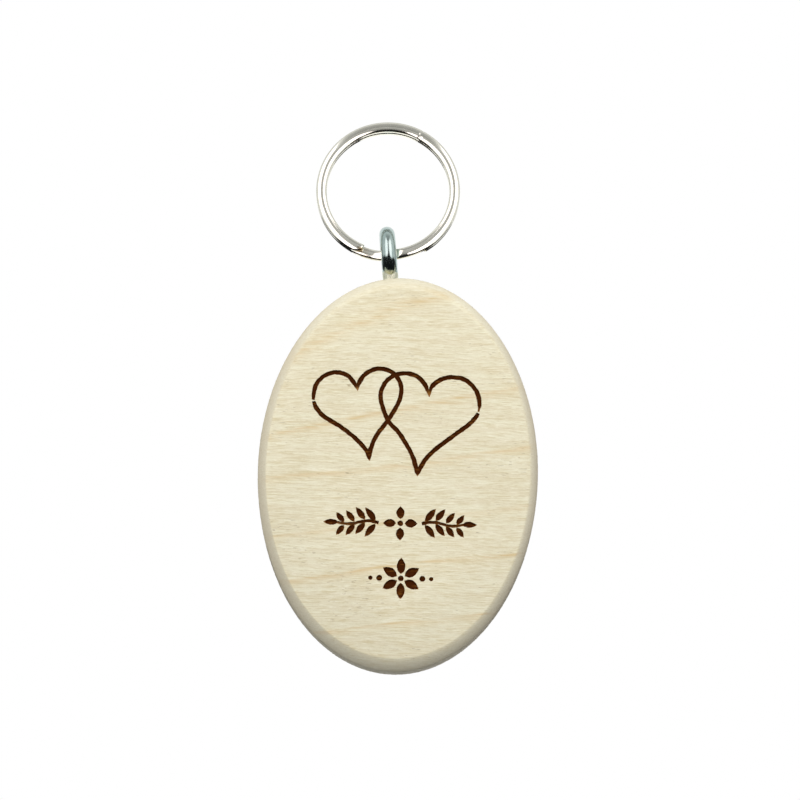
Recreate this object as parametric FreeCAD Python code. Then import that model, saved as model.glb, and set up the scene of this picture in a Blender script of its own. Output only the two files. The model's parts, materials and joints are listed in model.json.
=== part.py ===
"""Keychain: an oval wooden tag, a screw eye in its top edge and a split ring through the eye.

Units are millimetres. +Z is up along the tag's long axis, +X is to the right as the tag's
engraved front is faced, and the front looks along -Y. The origin is the inner top of the
split ring, the point that a hook or a key hangs from.

The pose is the one the keychain takes when it is laid on its back: the tag's back and the far
end of the ring both touch the plane it lies on, so the ring leans back a little from the tag.
"""
import FreeCAD, Part
import math
import os

from FreeCAD import Vector

# ---- Wooden tag: an oval disc with softly sanded edges ----
TAG_WIDTH = 48.2
TAG_HEIGHT = 68.2
TAG_THICKNESS = 9.0
EDGE_ROUND_SIDE = 1.35      # width of the sanded round at the left and right of the oval
EDGE_ROUND_END = 2.15       # width of the sanded round at its top and bottom
EDGE_ROUND_DEPTH = 1.75     # depth of the round into the thickness
EDGE_BANDS = 5              # ruled bands that make up each round

# ---- Screw eye: round wire bent to a loop, with a plain neck and a screw end ----
EYE_WIRE = 2.7              # wire diameter of the loop
EYE_HOLE = 3.4              # hole of the loop
EYE_NECK_BEND = 1.6         # radius of the reverse bend between neck and loop
EYE_TIP_ANGLE = 235.0       # where the wire's cut tip ends, counted from the back over the top
EYE_TIP_BEVEL = 0.4         # bevel round the cut tip
EYE_NECK = 2.55             # diameter of the neck that enters the wood
EYE_NECK_TAPER = 0.5        # length over which the loop's wire narrows to the neck
EYE_STANDOFF = 0.75         # gap between the loop and the wood
EYE_NECK_DEPTH = 1.5        # length of neck inside the wood
SCREW_CORE = 1.9            # core diameter of the screw end
SCREW_LENGTH = 10.5         # length of the screw end, without its point
SCREW_POINT = 2.2           # length of the gimlet point
EYE_SIDE_OFFSET = -1.95     # the eye enters the top edge a little left of the middle
EYE_LEAN = 6.0              # degrees; its axis stands square to the oval's edge there
SCREW_FIT = 0.02            # radial clearance of the neck and the screw in the wood

# ---- Split ring: one springy wire wound twice, crossing over in an S-bend ----
RING_OUTER = 25.0           # outside diameter
RING_BAND = 1.85            # width of the wire, measured along the ring's radius
COIL_THICKNESS = 1.13       # thickness of one coil, along the ring's axis
COIL_GAP = 0.10             # gap between the two coils
WIRE_FACETS = 12            # sides of the wire's domed section
WIRE_FULLNESS = 2.6         # 2 is an ellipse across, larger is squarer
FRONT_TIP = 245.0           # degrees, counterclockwise from +X; the front coil's free tip
BEND_START = 300.0          # the front coil's other end, where the S-bend begins
BEND_END = 252.0            # the back coil's first end, where the S-bend is over
BACK_TIP = 303.0            # the back coil's free tip
BEND_STEPS = 8              # ruled stretches that make up the S-bend
TIP_BEVEL = 0.22            # bevel round the two free tips

# ---- How the ring hangs in the eye ----
RING_SEAT_DROP = 0.65       # the wire runs this far below the middle of the hole
RING_SHIFT = 0.30           # the loop stands this far right of the ring's lowest point

# ---- Sizes worked out from those above ----
TAG_A = TAG_WIDTH / 2
TAG_B = TAG_HEIGHT / 2
LOOP_MID = (EYE_HOLE + EYE_WIRE) / 2
LOOP_OUTER = EYE_HOLE / 2 + EYE_WIRE
RING_THICKNESS = 2 * COIL_THICKNESS + COIL_GAP
RING_OUTER_RADIUS = RING_OUTER / 2
RING_MID = RING_OUTER_RADIUS - RING_BAND / 2
RING_INNER = RING_OUTER_RADIUS - RING_BAND
COIL_OFFSET = (COIL_THICKNESS + COIL_GAP) / 2
FULL_TURN = 360.0

# The ring's far end drops from the tag's middle plane to the plane of its back.
RING_LEAN = math.degrees(math.asin((TAG_THICKNESS - RING_THICKNESS) / 2
                                   / (RING_OUTER_RADIUS + RING_MID)))


def turned(y, z, degrees):
    """Turn a point of the YZ plane about X, so that its upper end goes towards +Y."""
    angle = math.radians(degrees)
    return (y * math.cos(angle) + z * math.sin(angle), z * math.cos(angle) - y * math.sin(angle))


# The ring's centre, and the swing axis through its lowest wire, seen from its inner top.
RING_CENTRE_Y, RING_CENTRE_Z = turned(0.0, -RING_INNER, RING_LEAN)
SWING_Y, SWING_Z = turned(0.0, -RING_INNER - RING_MID, RING_LEAN)

# The eye's axis, from where it enters the edge of the oval up to the middle of the loop.
LEAN_X = -math.sin(math.radians(EYE_LEAN))
LEAN_Z = math.cos(math.radians(EYE_LEAN))
EYE_RISE = EYE_STANDOFF + LOOP_OUTER
ENTRY_HEIGHT = TAG_B * math.sqrt(1 - (EYE_SIDE_OFFSET / TAG_A) ** 2)

TAG_X = RING_SHIFT - EYE_SIDE_OFFSET - EYE_RISE * LEAN_X
TAG_Y = SWING_Y
TAG_Z = SWING_Z + RING_SEAT_DROP - EYE_RISE * LEAN_Z - ENTRY_HEIGHT
# The neck bend starts where a bend of its radius touches both the eye's axis and the loop.
BEND_START_Z = -math.sqrt(LOOP_MID ** 2 + 2 * LOOP_MID * EYE_NECK_BEND)
TAG_CENTRE = Vector(TAG_X, TAG_Y, TAG_Z)
LOOP_CENTRE = Vector(RING_SHIFT, SWING_Y, SWING_Z + RING_SEAT_DROP)


def oval(half_width, half_height, y):
    """An upright elliptical wire in a plane of constant y."""
    ellipse = Part.Ellipse(Vector(0, y, half_height), Vector(half_width, y, 0), Vector(0, y, 0))
    return Part.Wire(ellipse.toShape())


def tag_blank():
    """The oval disc, each rim a stack of ruled bands that follow a quarter of an ellipse."""
    rims = []
    for side in (-1, 1):
        sections = []
        for i in range(EDGE_BANDS + 1):
            angle = math.pi / 2 * i / EDGE_BANDS
            inset = 1 - math.cos(angle)
            y = side * (TAG_THICKNESS / 2 - EDGE_ROUND_DEPTH * (1 - math.sin(angle)))
            sections.append(oval(TAG_A - EDGE_ROUND_SIDE * inset,
                                 TAG_B - EDGE_ROUND_END * inset, y))
        rims.append(Part.makeLoft(sections, True, True))
    wall = TAG_THICKNESS - 2 * EDGE_ROUND_DEPTH
    core = Part.Face(oval(TAG_A, TAG_B, -wall / 2)).extrude(Vector(0, wall, 0))
    return core.fuse(rims).Solids[0]


def onto_eye_axis(shape):
    """Carry a shape from the eye's own frame, loop centred at the origin, to its place."""
    shape.rotate(Vector(0, 0, 0), Vector(0, 1, 0), -EYE_LEAN)
    shape.translate(LOOP_CENTRE)
    return shape


def screw_outline(clearance):
    """The neck and the screw end as one turned solid about the eye's axis.

    It serves both the eye itself, with no clearance, and the hole that it makes in the wood.
    """
    neck = EYE_NECK / 2 + clearance
    core = SCREW_CORE / 2 + clearance
    wood = -EYE_RISE
    neck_top = BEND_START_Z - EYE_NECK_TAPER
    neck_end = wood - EYE_NECK_DEPTH
    shoulder = neck_end - (EYE_NECK - SCREW_CORE) / 2
    screw_end = neck_end - SCREW_LENGTH
    tip = screw_end - SCREW_POINT - clearance
    profile = Part.makePolygon([
        Vector(0, 0, neck_top),
        Vector(neck, 0, neck_top),
        Vector(neck, 0, neck_end),
        Vector(core, 0, shoulder),
        Vector(core, 0, screw_end),
        Vector(0, 0, tip),
        Vector(0, 0, neck_top),
    ])
    return Part.Face(profile).revolve(Vector(0, 0, 0), Vector(0, 0, 1), FULL_TURN)


def wooden_tag():
    """The oval with the hole that the screw eye has cut for itself."""
    tag = tag_blank()
    tag.translate(TAG_CENTRE)
    return tag.cut(onto_eye_axis(screw_outline(SCREW_FIT)))


def screw_eye():
    """Wire bent round to a loop, from the neck over the back and the top to a cut tip in front."""
    touch_y = EYE_NECK_BEND * LOOP_MID / (LOOP_MID + EYE_NECK_BEND)
    touch_z = BEND_START_Z * LOOP_MID / (LOOP_MID + EYE_NECK_BEND)
    half_turn = math.atan2(-BEND_START_Z, EYE_NECK_BEND) / 2
    bend_middle = Vector(0, EYE_NECK_BEND * (1 - math.cos(half_turn)),
                         BEND_START_Z + EYE_NECK_BEND * math.sin(half_turn))
    start_angle = math.atan2(touch_z, touch_y)
    tip_angle = math.radians(EYE_TIP_ANGLE)
    middle_angle = (start_angle + tip_angle) / 2
    neck_start = Vector(0, 0, BEND_START_Z)
    touch = Vector(0, touch_y, touch_z)
    top = Vector(0, LOOP_MID * math.cos(middle_angle), LOOP_MID * math.sin(middle_angle))
    tip = Vector(0, LOOP_MID * math.cos(tip_angle), LOOP_MID * math.sin(tip_angle))
    path = Part.Wire([Part.Arc(neck_start, bend_middle, touch).toShape(),
                      Part.Arc(touch, top, tip).toShape()])
    section = Part.Wire(Part.makeCircle(EYE_WIRE / 2, neck_start, Vector(0, 0, 1)))
    wire = path.makePipeShell([section], True, False)
    onward = Vector(0, -math.sin(tip_angle), math.cos(tip_angle))
    bevel = Part.makeCone(EYE_WIRE / 2, EYE_WIRE / 2 - EYE_TIP_BEVEL, EYE_TIP_BEVEL, tip, onward)
    taper = Part.makeCone(EYE_NECK / 2, EYE_WIRE / 2, EYE_NECK_TAPER,
                          Vector(0, 0, BEND_START_Z - EYE_NECK_TAPER))
    eye = wire.fuse([bevel, taper, screw_outline(0.0)])
    return onto_eye_axis(eye.Solids[0])


def wire_section(shrink):
    """The ring's wire across: a many-sided oval, domed on its two faces.

    Its x runs along the ring's radius and its y along the ring's axis. Two of its sides lie
    flat at the full thickness and two at the full width, each brought in by the shrink.
    """
    points = []
    half_step = math.pi / WIRE_FACETS
    full = math.cos(half_step) ** (2 / WIRE_FULLNESS)
    for i in range(WIRE_FACETS):
        angle = half_step * (2 * i + 1)
        across = math.copysign(abs(math.cos(angle)) ** (2 / WIRE_FULLNESS), math.cos(angle))
        along = math.copysign(abs(math.sin(angle)) ** (2 / WIRE_FULLNESS), math.sin(angle))
        points.append(Vector(RING_MID + across / full * (RING_BAND / 2 - shrink),
                             along / full * (COIL_THICKNESS / 2 - shrink), 0))
    return Part.makePolygon(points + points[:1])


def section_at(angle, offset, shrink=0.0):
    """The wire's section at an angle round the ring, moved along the ring's axis."""
    section = wire_section(shrink)
    section.translate(Vector(0, offset, 0))
    section.rotate(Vector(0, 0, 0), Vector(0, 1, 0), -angle)
    return section


def coil(start, end, offset):
    """A flat stretch of wire, turned clockwise about the ring's axis from start to end."""
    face = Part.Face(section_at(start, offset))
    return face.revolve(Vector(0, 0, 0), Vector(0, 1, 0), (start - end) % FULL_TURN)


def s_bend():
    """The single wire between the two coils, easing from the front one over to the back one."""
    sections = []
    for i in range(BEND_STEPS + 1):
        step = i / BEND_STEPS
        ease = step ** 3 * (10 - 15 * step + 6 * step ** 2)
        angle = BEND_START + (BEND_END - BEND_START) * step
        sections.append(section_at(angle, COIL_OFFSET * (2 * ease - 1)))
    return Part.makeLoft(sections, True, True)


def free_tip(angle, offset, onward):
    """The bevelled end of a coil, beyond its last full section."""
    bevel_angle = math.degrees(TIP_BEVEL / RING_MID)
    sections = [section_at(angle, offset),
                section_at(angle + onward * bevel_angle, offset, TIP_BEVEL)]
    return Part.makeLoft(sections, True, True)


def split_ring():
    """Front coil, S-bend and back coil in one wire, with bevelled free tips."""
    ring = coil(FRONT_TIP, BEND_START, -COIL_OFFSET)
    ring = ring.fuse([s_bend(), coil(BEND_END, BACK_TIP, COIL_OFFSET),
                      free_tip(FRONT_TIP, -COIL_OFFSET, 1),
                      free_tip(BACK_TIP, COIL_OFFSET, -1)]).Solids[0]
    ring.rotate(Vector(0, 0, 0), Vector(1, 0, 0), -RING_LEAN)
    ring.translate(Vector(0, RING_CENTRE_Y, RING_CENTRE_Z))
    return ring


PARTS = {
    "wooden_tag": wooden_tag,
    "screw_eye": screw_eye,
    "split_ring": split_ring,
}

os.makedirs("parts", exist_ok=True)
for name, make in PARTS.items():
    shape = make()
    shape.exportStep(os.path.join("parts", name + ".step"))
    box = shape.optimalBoundingBox(True, False)
    print(name, len(shape.Solids), shape.isValid(), round(shape.Volume, 1),
          [round(v, 2) for v in (box.XMin, box.XMax, box.YMin, box.YMax, box.ZMin, box.ZMax)])
print("swing axis at y, z:", round(SWING_Y, 4), round(SWING_Z, 4))
print("tag centre:", [round(v, 4) for v in TAG_CENTRE], "lean", round(RING_LEAN, 3))
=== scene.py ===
"""Looks of the wooden keychain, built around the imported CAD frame.

Lengths are in metres in the frame's own axes: +Z up along the tag, the engraved front faces -Y,
and the origin is the inner top of the split ring. Places come from the boxes of the CAD nodes and
from the joint. Shader patterns work in millimetres.
"""
import math

import bmesh
import bpy
from mathutils import Matrix, Vector, noise
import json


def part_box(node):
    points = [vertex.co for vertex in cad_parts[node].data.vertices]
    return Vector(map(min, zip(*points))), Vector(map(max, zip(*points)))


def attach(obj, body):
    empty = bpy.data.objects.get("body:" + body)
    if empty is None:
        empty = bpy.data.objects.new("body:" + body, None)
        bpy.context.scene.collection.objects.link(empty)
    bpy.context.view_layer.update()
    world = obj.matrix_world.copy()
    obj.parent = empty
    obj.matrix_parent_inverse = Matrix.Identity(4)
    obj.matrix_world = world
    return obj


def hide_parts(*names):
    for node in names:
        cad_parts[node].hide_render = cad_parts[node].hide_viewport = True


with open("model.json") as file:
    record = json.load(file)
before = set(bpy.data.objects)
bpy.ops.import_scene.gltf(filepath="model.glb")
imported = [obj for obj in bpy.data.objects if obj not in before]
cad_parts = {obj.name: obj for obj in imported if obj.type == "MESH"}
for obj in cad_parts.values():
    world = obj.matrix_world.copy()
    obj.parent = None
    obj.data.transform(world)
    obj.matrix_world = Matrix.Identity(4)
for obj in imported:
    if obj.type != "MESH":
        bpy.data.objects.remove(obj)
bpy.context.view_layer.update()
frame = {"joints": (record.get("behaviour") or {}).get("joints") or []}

MM = 0.001

# ---- Wooden tag ----
EDGE_ROUND_SIDE = 1.50 * MM     # the sanded round's width at the left and right of the oval
EDGE_ROUND_END = 2.15 * MM      # and at its top and bottom
EDGE_ROUND_DEPTH = 1.75 * MM    # how far it reaches into the thickness
EDGE_STEPS = 14                 # rows of faces across each round
OVAL_STEPS = 720                # points round the oval
RIM_FUZZ = 0.05 * MM            # the end grain stands out of the sanded rim by up to this

# ---- Burnt engraving ----
ENGRAVE_DEPTH = 0.38 * MM
ENGRAVE_SLOPE = 0.10 * MM       # the burnt walls lean out by this much towards the face
STROKE = 0.80 * MM              # usual width of an engraved line
CUTTER_RISE = 0.25 * MM         # how far the cutters stand out of the face
STROKE_STEP = 0.14 * MM         # from one section of a cutter to the next
SHALLOWEST = 0.2                # share of the depth that is left where a line runs out
LEAF_STEPS = 8                  # stretches of a leaf or a dot
SPRIG_CENTRE = (0.6, -8.7)      # millimetres from the tag's centre
ROSETTE_CENTRE = (0.9, -18.2)

# ---- Screw eye ----
EYE_WIRE = 2.7 * MM             # wire diameter of the loop
EYE_HOLE = 3.4 * MM             # hole of the loop
EYE_NECK_BEND = 1.6 * MM        # radius of the reverse bend between neck and loop
EYE_TIP_START = math.radians(195.0)    # from here on the wire's sections lean into the slant
EYE_TIP_INNER = math.radians(230.0)    # where the slanted cut meets the inside of the loop
EYE_TIP_OUTER = math.radians(250.0)    # and its outside, close in front of the neck
EYE_TIP_ROUND = 0.12 * MM       # round of the cut's edge
EYE_NECK = 2.55 * MM            # diameter of the neck that enters the wood
EYE_NECK_TAPER = 0.5 * MM       # length over which the wire narrows to the neck
EYE_STANDOFF = 0.75 * MM        # gap between the loop and the wood
EYE_NECK_DEPTH = 1.5 * MM       # length of neck inside the wood
SCREW_CORE = 1.9 * MM
SCREW_LENGTH = 10.5 * MM
SCREW_POINT = 2.2 * MM
EYE_LEAN = math.radians(6.0)    # its axis stands square to the oval's edge
SCREW_FIT = 0.02 * MM           # radial clearance in the wood
RING_SEAT_DROP = 0.65 * MM      # the ring's wire runs this far below the middle of the hole
RING_SHIFT = 0.30 * MM          # the loop stands this far right of the ring's lowest point
BEND_STEPS = 12                 # stretches of the reverse bend
LOOP_STEPS = 80                 # of the loop
SLANT_STEPS = 24                # of its slanted end
ROUND_STEPS = 5                 # of the round of the cut's edge
TURNED_POINTS = 48              # points round the hole in the wood
NECK_REFLECTION_TOP = -3.45               # millimetres above the loop's centre; below it the neck is dull, with a painted reflection of the wood
NECK_REFLECTION_FADE = 0.35               # millimetres over which the painted reflection comes in

# ---- Split ring ----
RING_BAND = 1.85 * MM           # width of the wire, along the ring's radius
COIL_THICKNESS = 1.13 * MM      # thickness of one coil, along the ring's axis
COIL_GAP = 0.10 * MM            # gap between the two coils
WIRE_FULLNESS = 2.4             # 2 is an ellipse across, larger is squarer
WIRE_POINTS = 48                # points round the wire
FRONT_TIP = 247.5               # degrees, counterclockwise from +X; the front coil's free tip
BEND_START = 288.0              # the front coil's other end, where the S-bend begins
BEND_END = 255.0                # the back coil's first end, where the S-bend is over
BACK_TIP = 303.0                # the back coil's free tip
RING_STEP = 1.5                 # degrees from one section of the ring to the next
TIP_ROUND = 0.22 * MM           # round of the free tips
TIP_STEPS = 4
TIP_WEAR = 6.5                  # the front tip's outer corner is worn off over this many degrees
TIP_WEAR_DEPTH = 0.55           # and by this share of half the band
TIP_BURR = 0.16 * MM            # raggedness of the sheared front tip
BARE_TIP_AND_REFLECTION_SHIFT = 0.6             # the bare, sheared steel and its painted reflection are centred this many degrees past the end
BARE_TIP_AND_REFLECTION_FADE = (0.070, 0.045)   # radians from that centre where it begins, and where it is full
BARE_TIP_AND_REFLECTION_RADII = (11.25, 11.6)   # millimetres; it comes in over these, on the outer half alone
SCRATCH_AND_REFLECTION_REACH = 3.6                 # the back coil is scratched, with a painted reflection, to twice this many degrees past it
COILS_PART = 0.05               # millimetres along the axis; the back coil lies beyond this
NICK_ANGLE = 62.0               # a nick across the front coil
NICK_DEPTH = 0.05 * MM

# ---- Places read from the frame ----
TAG_LOW, TAG_HIGH = (Vector(corner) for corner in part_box("wooden_tag"))
RING_LOW, RING_HIGH = (Vector(corner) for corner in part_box("split_ring"))
TAG_CENTRE = (TAG_LOW + TAG_HIGH) / 2
TAG_A = (TAG_HIGH.x - TAG_LOW.x) / 2
TAG_B = (TAG_HIGH.z - TAG_LOW.z) / 2
TAG_HALF = (TAG_HIGH.y - TAG_LOW.y) / 2
SWING = next(joint for joint in frame["joints"] if joint["name"] == "tag_swing")
SWING_Y, SWING_Z = SWING["pos_m"][1:]

RING_OUTER_RADIUS = (RING_HIGH.x - RING_LOW.x) / 2
RING_INNER_RADIUS = RING_OUTER_RADIUS - RING_BAND
RING_MID = RING_OUTER_RADIUS - RING_BAND / 2
RING_LEAN = math.atan2(-SWING_Y, -SWING_Z)
RING_PLACE = Matrix.Rotation(-RING_LEAN, 4, "X") @ Matrix.Translation((0, 0, -RING_INNER_RADIUS))
COIL_OFFSET = (COIL_THICKNESS + COIL_GAP) / 2

LOOP_MID = (EYE_HOLE + EYE_WIRE) / 2
LOOP_OUTER = EYE_HOLE / 2 + EYE_WIRE
LOOP_CENTRE = Vector((RING_SHIFT, SWING_Y, SWING_Z + RING_SEAT_DROP))
EYE_PLACE = Matrix.Translation(LOOP_CENTRE) @ Matrix.Rotation(-EYE_LEAN, 4, "Y")
# Two heights above the loop's centre, in the eye's own frame
NECK_TOP = -math.sqrt(LOOP_MID ** 2 + 2 * LOOP_MID * EYE_NECK_BEND)
WOOD_TOP = -(EYE_STANDOFF + LOOP_OUTER)


# ======================================================================== meshes

def mesh_object(name, points, faces, place=None):
    """A mesh object from points and faces, at its final place in the frame."""
    mesh = bpy.data.meshes.new(name)
    mesh.from_pydata(points, [], faces)
    if place is not None:
        mesh.transform(place)
    mesh.update()
    thing = bpy.data.objects.new(name, mesh)
    bpy.context.scene.collection.objects.link(thing)
    return thing


def skin(rings):
    """Points and faces of a closed tube through rings of equally many points."""
    count = len(rings[0])
    points = [point for ring in rings for point in ring]
    faces = []
    for row in range(len(rings) - 1):
        for i in range(count):
            after = (i + 1) % count
            faces.append((row * count + i, row * count + after,
                          (row + 1) * count + after, (row + 1) * count + i))
    faces.append(tuple(reversed(range(count))))
    last = (len(rings) - 1) * count
    faces.append(tuple(range(last, last + count)))
    return points, faces


def facing_out(thing):
    """Turn every face outwards."""
    work = bmesh.new()
    work.from_mesh(thing.data)
    bmesh.ops.recalc_face_normals(work, faces=work.faces)
    work.to_mesh(thing.data)
    work.free()


def smooth(thing, angle):
    """Shade smooth, but keep the edges that are sharper than the angle, in degrees."""
    thing.data.polygons.foreach_set("use_smooth", [True] * len(thing.data.polygons))
    thing.data.set_sharp_from_angle(angle=math.radians(angle))


def turned_profile(profile, steps):
    """Rings of a solid turned about Z, from a profile of (radius, height)."""
    return [[Vector((radius * math.cos(2 * math.pi * i / steps),
                     radius * math.sin(2 * math.pi * i / steps), height))
             for i in range(steps)] for radius, height in profile]


# ---------------------------------------------------------------- wooden tag

def rim_fullness(angle):
    """How round the sanded rim is: fuller over the top right, a flat bevel at the lower left."""
    flatter = 0.5 - 0.5 * math.cos(angle - math.radians(45))
    return 1.5 - 0.3 * flatter


def tag_body():
    """The oval with sanded rims, front and back."""
    rings = []
    for side in (-1, 1):
        rows = []
        for step in range(EDGE_STEPS + 1):
            turn = math.pi / 2 * step / EDGE_STEPS
            ring = []
            for i in range(OVAL_STEPS):
                angle = 2 * math.pi * i / OVAL_STEPS
                power = 2 / rim_fullness(angle)
                inset = 1 - math.sin(turn) ** power
                rise = 1 - math.cos(turn) ** power
                fuzz = RIM_FUZZ * math.sin(turn) * noise.noise(
                    Vector((angle * 90, step * 0.7, side * 5)))
                ring.append(TAG_CENTRE + Vector((
                    (TAG_A - EDGE_ROUND_SIDE * inset + fuzz) * math.cos(angle),
                    side * (TAG_HALF - EDGE_ROUND_DEPTH * rise),
                    (TAG_B - EDGE_ROUND_END * inset + fuzz) * math.sin(angle))))
            rows.append(ring)
        rings += rows if side < 0 else rows[::-1]
    tag = mesh_object("wooden_tag_body", *skin(rings))
    facing_out(tag)
    return tag


def knots_to_path(knots):
    """A smooth path of (x, z, width) through the knots, evenly stepped, by Catmull-Rom."""
    path = []
    for i in range(len(knots) - 1):
        before = Vector(knots[max(i - 1, 0)])
        start = Vector(knots[i])
        end = Vector(knots[i + 1])
        after = Vector(knots[min(i + 2, len(knots) - 1)])
        length = (end.xy - start.xy).length * MM
        steps = max(2, round(length / STROKE_STEP))
        for step in range(steps):
            t = step / steps
            path.append(0.5 * (2 * start + (end - before) * t
                               + (2 * before - 5 * start + 4 * end - after) * t ** 2
                               + (3 * start - before - 3 * end + after) * t ** 3))
    path.append(Vector(knots[-1]))
    return path


def ragged(place):
    """A slow and a quick wobble added up, about -1 to 1."""
    return noise.noise(place * 1.6) + 0.6 * noise.noise(place * 4.5)


def stroke(knots, wobble=0.07):
    """The rings of a cutter for one engraved line.

    A knot is (x, z, width) in millimetres from the tag's centre. Where the line is narrow it is
    also shallow, as a burnt tip is.
    """
    path = knots_to_path(knots)
    rings = []
    for i, point in enumerate(path):
        before = path[max(i - 1, 0)]
        after = path[min(i + 1, len(path) - 1)]
        along = (after.xy - before.xy).normalized()
        side = Vector((-along.y, along.x))
        place_noise = Vector((point.x, point.y, 0))
        left = max(point.z, 0.05) / 2 + wobble * ragged(place_noise)
        right = max(point.z, 0.05) / 2 + wobble * ragged(place_noise + Vector((0, 0, 9)))
        left = max(left, 0.03) * MM
        right = max(right, 0.03) * MM
        share = min(1, point.z * MM / (0.8 * STROKE))
        depth = ENGRAVE_DEPTH * (SHALLOWEST + (1 - SHALLOWEST) * share ** 1.5)
        slope = min(ENGRAVE_SLOPE, 0.4 * left, 0.4 * right)
        lean = slope * CUTTER_RISE / depth
        section = [(-left - lean, -CUTTER_RISE), (-left, 0), (-left + slope, depth),
                   (right - slope, depth), (right, 0), (right + lean, -CUTTER_RISE)]
        centre = Vector((point.x * MM, point.y * MM))
        ring = []
        for across, down in section:
            flat = centre + side * across
            ring.append(TAG_CENTRE + Vector((flat.x, -TAG_HALF + down, flat.y)))
        rings.append(ring)
    return rings


def leaf(root, angle, start, length, width):
    """An almond-shaped leaf along an angle, in degrees, that starts some way out of its root."""
    along = Vector((math.cos(math.radians(angle)), math.sin(math.radians(angle))))
    knots = []
    for i in range(LEAF_STEPS + 1):
        share = i / LEAF_STEPS
        place = root + along * (start + length * share)
        knots.append((*place, width * math.sin(math.pi * share ** 0.9) ** 0.8))
    return knots


def dot(x, z, radius):
    """A round dot."""
    knots = []
    for i in range(LEAF_STEPS + 1):
        turn = math.pi * i / LEAF_STEPS
        knots.append((x - radius * math.cos(turn), z, 2 * radius * math.sin(turn)))
    return knots


def hearts():
    """Two interlinked hearts, drawn in strokes from the cleft to the point.

    The outer sides are broken by a hairline at their widest, where the burning stopped and
    started again.
    """
    fine = 0.12
    full = STROKE / MM
    end = 0.75 * full
    return [
        [(-7.2, 14.1, fine), (-7.9, 15.5, full), (-9.2, 16.8, full), (-11.1, 17.2, full),
         (-13.1, 16.5, full), (-14.5, 14.8, full), (-14.85, 12.35, end)],
        [(-14.75, 12.12, end), (-14.3, 11.0, full), (-12.9, 9.5, full), (-9.9, 7.7, full),
         (-7.4, 5.8, full), (-5.6, 3.9, full), (-5.05, 2.7, full), (-4.9, 2.0, fine)],
        [(-7.2, 14.1, fine), (-7.0, 15.5, full), (-5.9, 17.1, full), (-3.8, 18.0, full),
         (-1.7, 17.6, full), (-0.3, 16.3, full), (0.3, 14.5, full), (-0.2, 12.1, full),
         (-1.9, 9.1, full), (-3.7, 6.6, full), (-4.7, 4.3, full), (-4.95, 2.8, full),
         (-4.9, 2.0, fine)],
        [(5.1, 13.3, fine), (4.4, 15.3, full), (2.9, 16.8, full), (0.7, 17.3, full),
         (-1.5, 16.6, full), (-2.9, 14.9, full), (-3.2, 12.6, full), (-1.9, 9.1, full),
         (0.2, 6.7, full), (2.3, 3.3, full), (3.25, 0.4, full), (3.4, -0.5, fine)],
        [(5.1, 13.3, fine), (5.6, 15.2, full), (7.2, 16.4, full), (9.2, 16.8, full),
         (11.4, 16.3, full), (13.1, 14.6, full), (13.75, 12.6, full), (13.65, 10.9, end / 2)],
        [(13.6, 10.68, end), (13.0, 9.7, full), (11.8, 8.5, full), (8.3, 5.8, full),
         (6.0, 3.9, full), (4.6, 2.3, full), (3.6, 0.5, full), (3.4, -0.5, fine)],
    ]


def sprig():
    """A leafy sprig either side of a four-petalled flower."""
    middle = Vector(SPRIG_CENTRE)
    strokes = [dot(*middle, 0.5)]
    for turn in range(4):
        strokes.append(leaf(middle, 90 * turn, 0.75, 2.2, 1.45))
    for side in (-1, 1):
        def on_stem(share):
            return middle + Vector((side * (3.7 + 7.2 * share),
                                    0.3 * math.sin(2 * math.pi * share)))
        strokes.append([(*on_stem(i / 8), 0.62 - 0.02 * i) for i in range(9)])
        outward = 0 if side > 0 else 180
        for pair in range(4):
            root = on_stem((pair + 0.2) / 4)
            for up in (-1, 1):
                strokes.append(leaf(root, outward + side * up * 52, 0.3, 2.9 - 0.25 * pair,
                                    1.15 - 0.05 * pair))
        strokes.append(leaf(on_stem(1), outward, -0.3, 2.6, 1.05))
    return strokes


def rosette():
    """A six-petalled rosette with two dots either side."""
    middle = Vector(ROSETTE_CENTRE)
    strokes = [dot(*middle, 0.5)]
    for turn in range(6):
        strokes.append(leaf(middle, 60 * turn + 30, 0.75, 2.8, 1.5))
    for side in (-1, 1):
        strokes.append(dot(middle.x + side * 3.7, middle.y, 0.52))
        strokes.append(dot(middle.x + side * 5.2, middle.y, 0.38))
    return strokes


def cut(thing, cutter, overlapping):
    """Cut one mesh out of another for good."""
    modifier = thing.modifiers.new("cut", "BOOLEAN")
    modifier.operation = "DIFFERENCE"
    modifier.solver = "EXACT"
    modifier.use_self = overlapping
    modifier.material_mode = "TRANSFER"
    modifier.object = cutter
    bpy.context.view_layer.update()
    done = bpy.data.meshes.new_from_object(thing.evaluated_get(
        bpy.context.evaluated_depsgraph_get()))
    thing.modifiers.remove(modifier)
    thing.data = done
    bpy.data.objects.remove(cutter)


def screw_profile(clearance):
    """The eye's neck and screw end as (radius, height) in the eye's own frame."""
    neck = EYE_NECK / 2 + clearance
    core = SCREW_CORE / 2 + clearance
    neck_end = WOOD_TOP - EYE_NECK_DEPTH
    screw_end = neck_end - SCREW_LENGTH
    return [(neck, neck_end), (core, neck_end - (EYE_NECK - SCREW_CORE) / 2), (core, screw_end),
            (0.05 * MM, screw_end - SCREW_POINT - clearance)]


def wooden_tag(wood, char):
    """The tag with the eye's hole and the burnt engraving cut into it."""
    tag = tag_body()
    tag.data.materials.append(wood)
    tag.data.materials.append(char)
    top = [(EYE_NECK / 2 + SCREW_FIT, WOOD_TOP + 2 * MM)] + screw_profile(SCREW_FIT)
    hole = mesh_object("hole", *skin(turned_profile(top, TURNED_POINTS)), EYE_PLACE)
    facing_out(hole)
    hole.data.materials.append(wood)
    cut(tag, hole, False)
    for lines in (hearts(), sprig(), rosette()):
        points = []
        faces = []
        for knots in lines:
            more_points, more_faces = skin(stroke(knots))
            faces += [tuple(i + len(points) for i in face) for face in more_faces]
            points += more_points
        cutter = mesh_object("engraving", points, faces)
        facing_out(cutter)
        cutter.data.materials.append(char)
        cut(tag, cutter, True)
    smooth(tag, 28)
    return tag


# ----------------------------------------------------------------- screw eye

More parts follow.
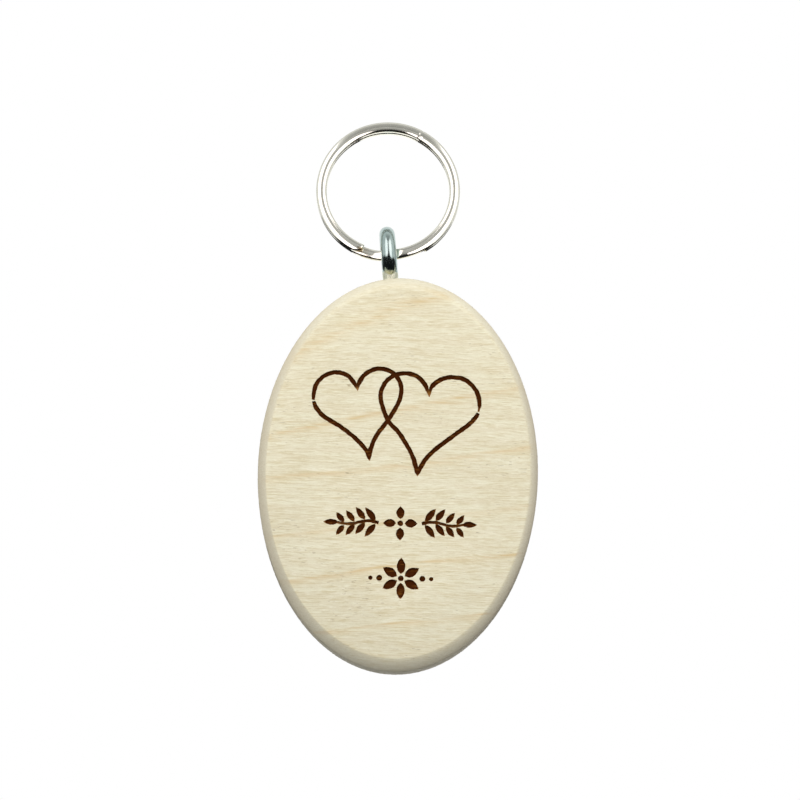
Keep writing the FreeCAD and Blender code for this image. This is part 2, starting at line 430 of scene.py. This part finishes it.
def wire_ring(centre, across, along_normal, radius, points=40):
    """A circle of points round the centre, in the plane of the two directions."""
    return [centre + radius * (across * math.cos(2 * math.pi * i / points)
                               + along_normal * math.sin(2 * math.pi * i / points))
            for i in range(points)]


def slanted_ring(share, radius, beyond, points=40):
    """A section of the tip that leans, by its share, from square across into the slanted cut.

    Beyond moves it on along the wire, in radians.
    """
    ring = []
    for i in range(points):
        angle = 2 * math.pi * i / points
        reach = LOOP_MID - radius * math.sin(angle)
        outer_share = (reach - EYE_HOLE / 2) / EYE_WIRE
        end = EYE_TIP_INNER + (EYE_TIP_OUTER - EYE_TIP_INNER) * outer_share
        turn = EYE_TIP_START + (end - EYE_TIP_START) * share + beyond
        ring.append(Vector((radius * math.cos(angle), reach * math.cos(turn),
                            reach * math.sin(turn))))
    return ring


def screw_eye(metal):
    """Round wire from the screw's point up the neck, over the back and the top to the cut tip."""
    across = Vector((1, 0, 0))
    straight = Vector((0, 1, 0))
    rings = []
    for radius, height in reversed(screw_profile(0)):
        rings.append(wire_ring(Vector((0, 0, height)), across, straight, radius))
    rings.append(wire_ring(Vector((0, 0, NECK_TOP - EYE_NECK_TAPER)), across, straight,
                           EYE_NECK / 2))
    bend_turn = math.atan2(-NECK_TOP, EYE_NECK_BEND)
    for i in range(BEND_STEPS + 1):
        turn = bend_turn * i / BEND_STEPS
        centre = Vector((0, EYE_NECK_BEND * (1 - math.cos(turn)),
                         NECK_TOP + EYE_NECK_BEND * math.sin(turn)))
        outward = Vector((0, math.cos(turn), -math.sin(turn)))
        rings.append(wire_ring(centre, across, outward, EYE_WIRE / 2))
    touch_y = EYE_NECK_BEND * LOOP_MID / (LOOP_MID + EYE_NECK_BEND)
    touch_z = NECK_TOP * LOOP_MID / (LOOP_MID + EYE_NECK_BEND)
    start = math.atan2(touch_z, touch_y)
    for i in range(1, LOOP_STEPS + 1):
        turn = start + (EYE_TIP_START - start) * i / LOOP_STEPS
        outward = Vector((0, math.cos(turn), math.sin(turn)))
        rings.append(wire_ring(outward * LOOP_MID, across, -outward, EYE_WIRE / 2))
    for i in range(1, SLANT_STEPS + 1):
        rings.append(slanted_ring(i / SLANT_STEPS, EYE_WIRE / 2, 0))
    for i in range(1, ROUND_STEPS + 1):
        turn = math.pi / 2 * i / ROUND_STEPS
        rings.append(slanted_ring(1, EYE_WIRE / 2 - EYE_TIP_ROUND * (1 - math.cos(turn)),
                                  EYE_TIP_ROUND / LOOP_MID * math.sin(turn)))
    eye = mesh_object("screw_eye_wire", *skin(rings), EYE_PLACE)
    facing_out(eye)
    smooth(eye, 35)
    eye.data.materials.append(metal)
    return eye


# ---------------------------------------------------------------- split ring

def wire_section(angle, offset, shrink=0.0, wear=0.0, burr=0.0):
    """The ring's domed wire across, at an angle round the ring, in degrees.

    Wear takes a share of the outer half of the band off, and burr makes the section ragged along
    the wire.
    """
    turn = math.radians(angle)
    outward = Vector((math.cos(turn), 0, math.sin(turn)))
    onward = Vector((-math.sin(turn), 0, math.cos(turn)))
    power = 2 / WIRE_FULLNESS
    section = []
    for i in range(WIRE_POINTS):
        point = 2 * math.pi * (i + 0.5) / WIRE_POINTS
        across = math.copysign(abs(math.cos(point)) ** power, math.cos(point))
        along = math.copysign(abs(math.sin(point)) ** power, math.sin(point))
        torn = noise.noise(Vector((across * 2.5, along * 2.0, 3.7))) * burr
        if across > 0:
            across *= 1 - wear
        section.append(outward * (RING_MID + across * (RING_BAND / 2 - shrink)) + onward * torn
                       + Vector((0, offset + along * (COIL_THICKNESS / 2 - shrink), 0)))
    return section


def split_ring(metal):
    """One wire: the front coil, the S-bend and the back coil, with rounded free tips."""
    front_turn = (FRONT_TIP - BEND_START) % 360
    bend_turn = BEND_START - BEND_END
    back_turn = (BEND_END - BACK_TIP) % 360
    all_turn = front_turn + bend_turn + back_turn
    rings = []
    tip_angle = math.degrees(TIP_ROUND / RING_MID)
    for i in range(TIP_STEPS, 0, -1):
        turn = math.pi / 2 * i / TIP_STEPS
        rings.append(wire_section(FRONT_TIP + tip_angle * math.sin(turn), -COIL_OFFSET,
                                  TIP_ROUND * (1 - math.cos(turn)), TIP_WEAR_DEPTH, TIP_BURR))
    steps = round(all_turn / RING_STEP)
    for i in range(steps + 1):
        turned = all_turn * i / steps
        share = min(1, max(0, (turned - front_turn) / bend_turn))
        ease = share ** 3 * (10 - 15 * share + 6 * share ** 2)
        worn = max(0, 1 - turned / TIP_WEAR) ** 2
        nicked = abs(FRONT_TIP - turned - NICK_ANGLE) < RING_STEP / 2
        rings.append(wire_section(FRONT_TIP - turned, COIL_OFFSET * (2 * ease - 1),
                                  NICK_DEPTH if nicked else 0, TIP_WEAR_DEPTH * worn,
                                  TIP_BURR * worn))
    for i in range(1, TIP_STEPS + 1):
        turn = math.pi / 2 * i / TIP_STEPS
        rings.append(wire_section(BACK_TIP - tip_angle * math.sin(turn), COIL_OFFSET,
                                  TIP_ROUND * (1 - math.cos(turn))))
    ring = mesh_object("split_ring_wire", *skin(rings), RING_PLACE)
    facing_out(ring)
    smooth(ring, 40)
    ring.data.materials.append(metal)
    return ring


# ===================================================================== materials

def add(tree, kind, inputs=None, **settings):
    """A shader node with its inputs linked or set, and its other settings."""
    node = tree.nodes.new(kind)
    for key, value in settings.items():
        setattr(node, key, value)
    for key, value in (inputs or {}).items():
        if isinstance(value, bpy.types.NodeSocket):
            tree.links.new(value, node.inputs[key])
        else:
            node.inputs[key].default_value = value
    return node


def maths(tree, operation, first, second=0.0, clamp=False):
    """The result of a Math node, kept within 0 and 1 if clamped."""
    return add(tree, "ShaderNodeMath", {0: first, 1: second}, operation=operation,
               use_clamp=clamp).outputs[0]


def blend(tree, share, first, second):
    """The colour between two colours."""
    node = add(tree, "ShaderNodeMix", {0: share, 6: first, 7: second}, data_type="RGBA")
    return node.outputs[2]


def ranged(tree, value, low, high, to_low=0.0, to_high=1.0):
    """A value mapped from one range to another, clamped and eased."""
    return add(tree, "ShaderNodeMapRange", {0: value, 1: low, 2: high, 3: to_low, 4: to_high},
               interpolation_type="SMOOTHSTEP").outputs[0]


def noise_at(tree, vector, scale, detail=3.0, roughness=0.5):
    """A noise value at a vector."""
    return add(tree, "ShaderNodeTexNoise", {"Vector": vector, "Scale": scale, "Detail": detail,
                                            "Roughness": roughness}).outputs[0]


def stretched(tree, vector, scale):
    """A vector scaled differently along each axis."""
    return add(tree, "ShaderNodeMapping", {"Vector": vector, "Scale": scale}).outputs[0]


def in_millimetres(tree, centre):
    """Object coordinates in millimetres from a centre."""
    place = add(tree, "ShaderNodeTexCoord").outputs["Object"]
    moved = add(tree, "ShaderNodeVectorMath", {0: place, 1: centre}, operation="SUBTRACT")
    return add(tree, "ShaderNodeVectorMath", {0: moved.outputs[0], 3: 1 / MM},
               operation="SCALE").outputs[0]


def new_material(name):
    """A material with an empty Principled shader, and its node tree."""
    material = bpy.data.materials.new(name)
    material.use_nodes = True
    return material, material.node_tree, material.node_tree.nodes["Principled BSDF"]


def srgb(red, green, blue):
    """A linear colour from display values of 0 to 255."""
    def linear(value):
        value /= 255
        return value / 12.92 if value <= 0.04045 else ((value + 0.055) / 1.055) ** 2.4
    return (linear(red), linear(green), linear(blue), 1)


# Growth lines: height in mm where x is 0, slope, bend per mm, width above, width below, strength.
GROWTH_LINES = [
    (29.6, 0.36, -0.006, 3.2, 2.4, 0.60),
    (11.7, 0.225, 0.0, 0.8, 2.0, 0.75),
    (2.4, 0.150, 0.0006, 0.7, 1.7, 0.65),
    (-7.6, 0.145, 0.0, 0.6, 1.4, 0.45),
    (-15.3, 0.140, -0.0008, 0.5, 1.4, 0.75),
    (-25.3, 0.130, 0.0, 0.4, 1.3, 0.80),
]


def wood_pattern(tree):
    """The place, colour and height of pale, fine-grained hardwood whose fibres run along X."""
    place = in_millimetres(tree, TAG_CENTRE)
    drift = noise_at(tree, stretched(tree, place, (0.04, 0.08, 0.07)), 1.0, 2.0)
    ripple = noise_at(tree, stretched(tree, place, (0.13, 0.3, 0.3)), 1.0, 2.0)
    parts = add(tree, "ShaderNodeSeparateXYZ", {0: place})
    x, y, z = parts.outputs
    shift = maths(tree, "ADD", maths(tree, "MULTIPLY", maths(tree, "SUBTRACT", drift, 0.5), 2.0),
                  maths(tree, "MULTIPLY", maths(tree, "SUBTRACT", ripple, 0.5), 0.35))
    height = maths(tree, "ADD", z, shift)
    warped = add(tree, "ShaderNodeCombineXYZ", {0: x, 1: y, 2: height}).outputs[0]

    band = noise_at(tree, stretched(tree, warped, (0.07, 0.6, 1.1)), 1.0, 2.0, 0.5)
    fibre = noise_at(tree, stretched(tree, warped, (0.22, 2.5, 4.8)), 1.0, 1.0, 0.5)
    fine = noise_at(tree, stretched(tree, warped, (0.75, 5.0, 7.0)), 1.0, 1.5, 0.6)
    grain = noise_at(tree, stretched(tree, warped, (3.0, 4.0, 5.0)), 1.0, 2.0, 0.7)
    lines = 0.0
    for crossing, slope, bend, above, below, strength in GROWTH_LINES:
        run = maths(tree, "MULTIPLY", x, maths(tree, "ADD", maths(tree, "MULTIPLY", x, bend),
                                               slope))
        level = maths(tree, "ADD", run, maths(tree, "ADD", maths(tree, "MULTIPLY", y, 0.18),
                                              crossing))
        off = maths(tree, "SUBTRACT", height, level)
        up = maths(tree, "SUBTRACT", 1.0, maths(tree, "DIVIDE", off, above))
        down = maths(tree, "ADD", 1.0, maths(tree, "DIVIDE", off, below))
        near = maths(tree, "MAXIMUM", maths(tree, "MINIMUM", up, down), 0.0)
        peak = maths(tree, "MULTIPLY", maths(tree, "POWER", near, 1.8), strength)
        lines = maths(tree, "ADD", lines, peak) if lines else peak
    gaps = noise_at(tree, stretched(tree, warped, (0.12, 0.8, 2.2)), 1.0, 3.0, 0.65)
    lines = maths(tree, "MULTIPLY", lines, ranged(tree, gaps, 0.36, 0.62, 0.15, 1.0), clamp=True)

    base = blend(tree, ranged(tree, band, 0.3, 0.7), srgb(235, 229, 202), srgb(229, 220, 191))
    base = blend(tree, ranged(tree, fibre, 0.50, 0.70, 0.0, 0.50), base, srgb(211, 195, 150))
    base = blend(tree, ranged(tree, fine, 0.52, 0.66, 0.0, 0.40), base, srgb(206, 191, 148))
    base = blend(tree, ranged(tree, grain, 0.50, 0.72, 0.0, 0.22), base, srgb(198, 184, 146))
    base = blend(tree, ranged(tree, fine, 0.44, 0.28, 0.0, 0.6), base, srgb(246, 241, 219))
    base = blend(tree, lines, base, srgb(216, 188, 134))
    pores = noise_at(tree, stretched(tree, warped, (0.75, 2.5, 6.5)), 1.0, 1.0)
    clumps = noise_at(tree, stretched(tree, warped, (0.08, 0.2, 0.35)), 1.0, 2.0)
    pore = maths(tree, "MULTIPLY", ranged(tree, pores, 0.68, 0.74),
                 ranged(tree, clumps, 0.48, 0.60))
    base = blend(tree, maths(tree, "MULTIPLY", pore, 0.6), base, srgb(150, 124, 84))
    relief = maths(tree, "ADD", maths(tree, "MULTIPLY", fibre, 0.6),
                   maths(tree, "SUBTRACT", maths(tree, "MULTIPLY", fine, 0.5), pore))
    return place, base, relief


def wood_material():
    """Pale sanded hardwood, a little greyer and rougher where the rim cuts across the fibres."""
    material, tree, shader = new_material("pale_wood")
    place, colour, relief = wood_pattern(tree)
    facing = add(tree, "ShaderNodeSeparateXYZ",
                 {0: add(tree, "ShaderNodeTexCoord").outputs["Normal"]})
    end = ranged(tree, maths(tree, "ABSOLUTE", facing.outputs[0]), 0.25, 0.95)
    grit = noise_at(tree, stretched(tree, place, (2.0, 3.0, 5.0)), 1.0, 4.0, 0.7)
    end_colour = blend(tree, ranged(tree, grit, 0.35, 0.7), srgb(214, 200, 170),
                       srgb(187, 168, 132))
    colour = blend(tree, maths(tree, "MULTIPLY", end, 0.75), colour, end_colour)
    rim = ranged(tree, maths(tree, "ABSOLUTE", facing.outputs[1]), 0.97, 0.75)
    colour = blend(tree, maths(tree, "MULTIPLY", rim, 0.45), colour, srgb(222, 217, 198))
    tree.links.new(colour, shader.inputs["Base Color"])
    shader.inputs["Specular IOR Level"].default_value = 0.3
    tree.links.new(ranged(tree, grit, 0.3, 0.7, 0.55, 0.72), shader.inputs["Roughness"])
    bump = add(tree, "ShaderNodeBump", {"Height": maths(tree, "ADD", relief, maths(
        tree, "MULTIPLY", grit, maths(tree, "MULTIPLY", end, 0.8))),
        "Strength": 0.5, "Distance": 0.06 * MM})
    tree.links.new(bump.outputs[0], shader.inputs["Normal"])
    return material


def char_material():
    """Burnt wood: near black-brown at the bottom of the groove, golden where it is shallow."""
    material, tree, shader = new_material("burnt_wood")
    place, colour, relief = wood_pattern(tree)
    y = add(tree, "ShaderNodeSeparateXYZ", {0: place}).outputs[1]
    depth = maths(tree, "ADD", y, TAG_HALF / MM)
    mottle = noise_at(tree, stretched(tree, place, (0.9, 1.0, 2.2)), 1.0, 3.0, 0.6)
    depth = maths(tree, "ADD", depth, maths(tree, "MULTIPLY", maths(tree, "SUBTRACT", mottle, 0.5),
                                            0.16))
    burnt = blend(tree, ranged(tree, depth, 0.12, 0.36), srgb(150, 104, 50), srgb(66, 29, 4))
    streak = noise_at(tree, stretched(tree, place, (0.5, 1.0, 2.4)), 1.0, 2.0, 0.5)
    burnt = blend(tree, ranged(tree, streak, 0.54, 0.72, 0.0, 0.6), burnt, srgb(128, 80, 28))
    burnt = blend(tree, ranged(tree, depth, 0.0, 0.06), colour, burnt)
    tree.links.new(burnt, shader.inputs["Base Color"])
    shader.inputs["Roughness"].default_value = 0.9
    shader.inputs["Specular IOR Level"].default_value = 0.04
    bump = add(tree, "ShaderNodeBump", {"Height": mottle, "Strength": 0.6, "Distance": 0.1 * MM})
    tree.links.new(bump.outputs[0], shader.inputs["Normal"])
    return material


def nickel_material():
    """Bright, warm nickel plate with fine marks along the wire; where the tip was sheared it is
    bare, with a painted reflection in dark brown and gold.
    """
    material, tree, shader = new_material("nickel_plate")
    place = in_millimetres(tree, (0, -RING_INNER_RADIUS * math.sin(RING_LEAN),
                                  -RING_INNER_RADIUS * math.cos(RING_LEAN)))
    level = add(tree, "ShaderNodeVectorRotate", {"Vector": place, "Angle": RING_LEAN},
                rotation_type="X_AXIS").outputs[0]
    parts = add(tree, "ShaderNodeSeparateXYZ", {0: level})
    radius = maths(tree, "SQRT", maths(tree, "ADD", maths(tree, "POWER", parts.outputs[0], 2.0),
                                       maths(tree, "POWER", parts.outputs[2], 2.0)))
    round_ring = maths(tree, "ARCTAN2", parts.outputs[2], parts.outputs[0])
    along = add(tree, "ShaderNodeCombineXYZ", {0: maths(tree, "MULTIPLY", radius, 9.0),
                                               1: maths(tree, "MULTIPLY", parts.outputs[1], 9.0),
                                               2: maths(tree, "MULTIPLY", round_ring, 2.5)})
    marks = noise_at(tree, along.outputs[0], 1.0, 3.0, 0.6)
    cloud = noise_at(tree, place, 0.5, 2.0)
    plate = blend(tree, ranged(tree, cloud, 0.3, 0.7), srgb(243, 242, 228), srgb(251, 250, 238))
    tip_turn = maths(tree, "ABSOLUTE", maths(
        tree, "SUBTRACT", round_ring, math.radians(FRONT_TIP + BARE_TIP_AND_REFLECTION_SHIFT - 360)))
    tip_noise = noise_at(tree, place, 2.2, 3.0, 0.7)
    near_tip = ranged(tree, maths(tree, "ADD", tip_turn, maths(
        tree, "MULTIPLY", maths(tree, "SUBTRACT", tip_noise, 0.5), 0.16)), *BARE_TIP_AND_REFLECTION_FADE)
    near_tip = maths(tree, "MULTIPLY", near_tip, ranged(tree, radius, *BARE_TIP_AND_REFLECTION_RADII))
    in_back = maths(tree, "GREATER_THAN", parts.outputs[1], COILS_PART)
    bare_steel_and_reflection = maths(tree, "MULTIPLY", near_tip, maths(tree, "SUBTRACT", 1.0, in_back))
    # Scratches on the back coil just past the tip, in the same colours, partly a painted
    # reflection.
    past_tip = maths(tree, "ABSOLUTE", maths(
        tree, "SUBTRACT", round_ring, math.radians(FRONT_TIP + SCRATCH_AND_REFLECTION_REACH - 360)))
    scratches_and_reflection = maths(tree, "MULTIPLY", ranged(tree, past_tip, math.radians(SCRATCH_AND_REFLECTION_REACH), 0.03),
                      ranged(tree, noise_at(tree, along.outputs[0], 1.6, 2.0, 0.6), 0.50, 0.56))
    bare_steel_and_reflection = maths(tree, "MAXIMUM", bare_steel_and_reflection, maths(tree, "MULTIPLY", scratches_and_reflection, in_back))
    # Dark brown to gold: bare steel, and a painted reflection of the dark and gold at the cut end.
    bare_steel_and_reflection_colour = blend(tree, ranged(tree, tip_noise, 0.4, 0.6), srgb(70, 50, 26),
                       srgb(232, 208, 160))
    tree.links.new(blend(tree, bare_steel_and_reflection, plate, bare_steel_and_reflection_colour), shader.inputs["Base Color"])
    shader.inputs["Metallic"].default_value = 1.0
    tree.links.new(ranged(tree, marks, 0.3, 0.7, 0.05, 0.12), shader.inputs["Roughness"])
    bump = add(tree, "ShaderNodeBump", {"Height": marks, "Strength": 0.12, "Distance": 0.01 * MM})
    tree.links.new(bump.outputs[0], shader.inputs["Normal"])
    return material


def zinc_material():
    """Bluish zinc plate, a little cloudy, and dull at the neck, with a painted reflection of the
    wood.
    """
    material, tree, shader = new_material("zinc_plate")
    place = in_millimetres(tree, LOOP_CENTRE)
    cloud = noise_at(tree, place, 0.9, 3.0, 0.6)
    speck = noise_at(tree, place, 7.0, 2.0, 0.6)
    height = add(tree, "ShaderNodeSeparateXYZ", {0: place}).outputs[2]
    # Below the neck's top the plate is rougher and takes pale beige, a painted reflection of the
    # wood below it.
    neck = ranged(tree, height, NECK_REFLECTION_TOP, NECK_REFLECTION_TOP - NECK_REFLECTION_FADE)
    plate = blend(tree, ranged(tree, cloud, 0.3, 0.7), srgb(168, 188, 184), srgb(188, 205, 200))
    tree.links.new(blend(tree, neck, plate, srgb(226, 228, 206)), shader.inputs["Base Color"])
    shader.inputs["Metallic"].default_value = 1.0
    rough = ranged(tree, cloud, 0.3, 0.7, 0.13, 0.21)
    tree.links.new(maths(tree, "ADD", rough, maths(tree, "MULTIPLY", neck, 0.32)),
                   shader.inputs["Roughness"])
    bump = add(tree, "ShaderNodeBump", {"Height": speck, "Strength": 0.12, "Distance": 0.01 * MM})
    tree.links.new(bump.outputs[0], shader.inputs["Normal"])
    return material


# ========================================================================= stage

FLOOR_Z = -0.26
FLOOR_SIZE = 3.0                # half its width
CARD_CENTRE = Vector((0, -0.003, -0.015))
FAR, MIDWAY, NEAR = 0.22, 0.216, 0.212      # a card that overlaps another stands nearer
CARD_ROWS = 8                   # rows of faces from knot to knot
CARD_COLUMNS = 24
CEILING_CENTRE = Vector((0, -0.001, 0))
CEILING_DISTANCE = 0.065
BLACK = 0.012                   # the level of a black card
FLAG_RISE = 0.20 * MM           # above the wood's top
FLAG_FRONT = 7.6 * MM           # in front of the loop's centre, as are the next two
FLAG_BACK = 0.9 * MM
FLAG_BAY_BACK = 2.1 * MM
FLAG_BAY = 1.9 * MM             # half widths
FLAG_WIDTH = 13.0 * MM


def seen_ray(tree):
    """1 for rays that see the background directly, in a mirror or through glass, else 0."""
    path = add(tree, "ShaderNodeLightPath")
    seen = maths(tree, "MAXIMUM", path.outputs["Is Camera Ray"], path.outputs["Is Glossy Ray"])
    return maths(tree, "MAXIMUM", seen, path.outputs["Is Transmission Ray"])


def white_world():
    """White to look at; as a light, brighter from above and the front than from below."""
    world = bpy.data.worlds.new("studio")
    world.use_nodes = True
    tree = world.node_tree
    direction = add(tree, "ShaderNodeSeparateXYZ",
                    {0: add(tree, "ShaderNodeTexCoord").outputs["Generated"]})
    from_above = ranged(tree, direction.outputs[2], -0.9, 0.6, 0.17, 0.68)
    from_front = ranged(tree, direction.outputs[1], -0.9, 0.3, 1.0, 0.85)
    level = maths(tree, "MULTIPLY", from_above, from_front)
    strength = maths(tree, "MAXIMUM", level, seen_ray(tree))
    background = tree.nodes["Background"]
    background.inputs[0].default_value = (1, 1, 1, 1)
    tree.links.new(strength, background.inputs[1])
    bpy.context.scene.world = world


def pale_floor():
    """A plain white floor below the keychain."""
    corners = [(x * FLOOR_SIZE, y * FLOOR_SIZE, FLOOR_Z)
               for x, y in ((-1, -1), (1, -1), (1, 1), (-1, 1))]
    floor = mesh_object("floor", corners, [(0, 1, 2, 3)])
    material, tree, shader = new_material("floor_white")
    shader.inputs["Base Color"].default_value = (0.85, 0.85, 0.84, 1)
    shader.inputs["Roughness"].default_value = 0.9
    shader.inputs["Specular IOR Level"].default_value = 0.0
    shader.inputs["Emission Color"].default_value = (1, 1, 1, 1)
    tree.links.new(maths(tree, "MULTIPLY", seen_ray(tree), 0.45),
                   shader.inputs["Emission Strength"])
    floor.data.materials.append(material)
    floor.visible_diffuse = False


def reflected_only(name, points, faces, levels, tint=(1, 1, 1, 1)):
    """A glowing or dark panel that shows only in the metal's reflections."""
    panel = mesh_object(name, points, faces)
    glow = panel.data.attributes.new("glow", "FLOAT", "POINT")
    glow.data.foreach_set("value", levels)
    material, tree, shader = new_material(name)
    tree.nodes.remove(shader)
    level = add(tree, "ShaderNodeAttribute", attribute_name="glow").outputs["Fac"]
    shine = add(tree, "ShaderNodeEmission", {"Color": tint, "Strength": level})
    tree.links.new(shine.outputs[0], tree.nodes["Material Output"].inputs[0])
    panel.data.materials.append(material)
    panel.visible_camera = False
    panel.visible_diffuse = False
    panel.visible_transmission = False
    panel.visible_shadow = False


def card(name, distance, place, knots, centre=CARD_CENTRE, side_level=None, tint=(1, 1, 1, 1)):
    """A curved panel round the keychain.

    Place turns two angles into a direction. A knot gives the first angle, the limits of the
    second there, in degrees, and the level, which may fade to another at the panel's sides.
    """
    rows = []
    for start, end in zip(knots, knots[1:]):
        rows += [Vector(start).lerp(Vector(end), i / CARD_ROWS) for i in range(CARD_ROWS)]
    rows.append(Vector(knots[-1]))
    points = []
    levels = []
    for first, low, high, level in rows:
        for i in range(CARD_COLUMNS + 1):
            second = low + (high - low) * i / CARD_COLUMNS
            points.append(centre + distance * place(math.radians(first), math.radians(second)))
            aside = abs(2 * i / CARD_COLUMNS - 1) ** 4
            levels.append(level if side_level is None else level + (side_level - level) * aside)
    faces = []
    for row in range(len(rows) - 1):
        for i in range(CARD_COLUMNS):
            corner = row * (CARD_COLUMNS + 1) + i
            above = corner + CARD_COLUMNS + 1
            faces.append((corner, corner + 1, above + 1, above))
    reflected_only(name, points, faces, levels, tint)


# A black sheet that stands in for shade: the eye's tip mirrors it as a painted dark reflection
# where it would mirror the wood.
def dark_reflection_flag():
    """A black strip just above the wood's front edge that keeps the wood out of the metal.

    It leaves a bay round the eye's tip, which shows the wood below it.
    """
    height = LOOP_CENTRE.z + WOOD_TOP + FLAG_RISE
    front = LOOP_CENTRE.y - FLAG_FRONT
    corners = [(-FLAG_WIDTH, FLAG_BACK), (-FLAG_BAY, FLAG_BACK), (-FLAG_BAY, FLAG_BAY_BACK),
               (FLAG_BAY, FLAG_BAY_BACK), (FLAG_BAY, FLAG_BACK), (FLAG_WIDTH, FLAG_BACK)]
    points = [(x, LOOP_CENTRE.y - back, height) for x, back in corners]
    points += [(x, front, height) for x, back in corners]
    faces = [(i, i + 1, i + 7, i + 6) for i in (0, 2, 4)]
    reflected_only("dark_reflection_flag", points, faces, [BLACK] * len(points))


def in_front(up, aside):
    """The direction at an elevation and an azimuth, where azimuth 0 is straight in front."""
    return Vector((math.cos(up) * math.sin(aside), -math.cos(up) * math.cos(aside),
                   math.sin(up)))


def round_front(away, clock):
    """The direction at an angle away from straight in front, to the right where clock is 0."""
    return Vector((math.sin(away) * math.cos(clock), -math.cos(away),
                   math.sin(away) * math.sin(clock)))


def area_light(name, place, target, size, power):
    """A soft square lamp that faces the target and doesn't show in reflections."""
    data = bpy.data.lights.new(name, "AREA")
    data.shape = "SQUARE"
    data.size = size
    data.energy = power
    lamp = bpy.data.objects.new(name, data)
    bpy.context.scene.collection.objects.link(lamp)
    lamp.location = place
    lamp.rotation_euler = (target - place).to_track_quat("-Z", "Y").to_euler()
    lamp.visible_glossy = False


def build_stage():
    """World, floor, cards and lamp.

    The metal mirrors a bright box in front, split by a dim gap that turns black towards the
    bottom, dimmer sides, a grey ceiling close above, and dark behind and below.
    """
    white_world()
    pale_floor()
    card("dim_sides", FAR, round_front, [(52, -35, 215, 0.74), (97, -35, 215, 0.80)])
    card("edge_line", FAR, round_front, [(97, -35, 215, 0.35), (120, -35, 215, 0.35)])
    card("soft_box", MIDWAY, in_front, [(-34, -46, 46, 1.9), (58, -46, 46, 1.9)],
         tint=(1.0, 0.92, 0.94, 1))
    card("gap", NEAR, in_front, [(60, -12, 12, 0.60), (36, -11, 11, 0.46), (26, -9, 9, 0.42),
                                 (10, -9, 9, 0.34), (0, -8, 8, 0.20), (-12, -11, 11, 0.035),
                                 (-20, -15, 15, 0.02), (-28, -25, 25, 0.015),
                                 (-46, -52, 52, 0.015)])
    card("dark_below", NEAR, round_front,
         [(43, -138, -42, BLACK), (60, -147, -38, BLACK), (80, -148, -37, BLACK)])
    card("dark_below_left", NEAR, round_front,
         [(80, -148, -112, BLACK), (110, -149, -124, BLACK), (165, -160, -132, BLACK)])
    card("dark_below_right", NEAR, round_front,
         [(80, -68, -37, BLACK), (110, -56, -35, BLACK), (165, -48, -20, BLACK)])
    card("dark_left", MIDWAY, round_front, [(104, -172, -146, 0.08), (170, -172, -146, 0.04)])
    card("dark_right", MIDWAY, round_front, [(104, -40, -12, 0.12), (170, -40, -12, 0.06)])
    card("ceiling", CEILING_DISTANCE, in_front,
         [(24, -12, 12, 0.26), (34, -28, 28, 0.33), (43, -44, 44, 0.38), (55, -78, 78, 0.42),
          (70, -80, 80, 0.58), (84, -80, 80, 0.92)], CEILING_CENTRE, side_level=0.95)
    dark_reflection_flag()
    area_light("key", Vector((-0.05, -0.75, 0.42)), Vector((0, 0, -0.05)), 0.5, 5.3)


# ======================================================================== camera

def build_camera():
    """The camera looks up at the tag from a little below, from about a metre away."""
    distance = 1.1
    pitch = math.radians(7.876)
    roll = math.radians(1.278)
    target = TAG_CENTRE + Vector((0.088 * MM, 0, 13.269 * MM))
    forward = Vector((0, math.cos(pitch), math.sin(pitch)))
    level_right = Vector((1, 0, 0))
    level_up = Vector((0, -math.sin(pitch), math.cos(pitch)))
    right = level_right * math.cos(roll) + level_up * math.sin(roll)
    up = level_up * math.cos(roll) - level_right * math.sin(roll)
    data = bpy.data.cameras.new("camera")
    data.sensor_width = 36.0
    data.lens = 286.6
    data.clip_start = 0.05
    data.clip_end = 20.0
    camera = bpy.data.objects.new("camera", data)
    bpy.context.scene.collection.objects.link(camera)
    place = target - forward * distance
    camera.matrix_world = Matrix(((right.x, up.x, -forward.x, place.x),
                                  (right.y, up.y, -forward.y, place.y),
                                  (right.z, up.z, -forward.z, place.z),
                                  (0, 0, 0, 1)))
    bpy.context.scene.camera = camera


# ====================================================================== assembly

build_camera()
build_stage()
bpy.context.scene.view_settings.view_transform = "Standard"

tag = wooden_tag(wood_material(), char_material())
eye = screw_eye(zinc_material())
ring = split_ring(nickel_material())
for piece, body, node, slot in ((tag, "tag", "wooden_tag", "tag_wood"),
                                (eye, "tag", "screw_eye", "eye_zinc"),
                                (ring, "ring", "split_ring", "ring_nickel")):
    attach(piece, body)
    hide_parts(node)
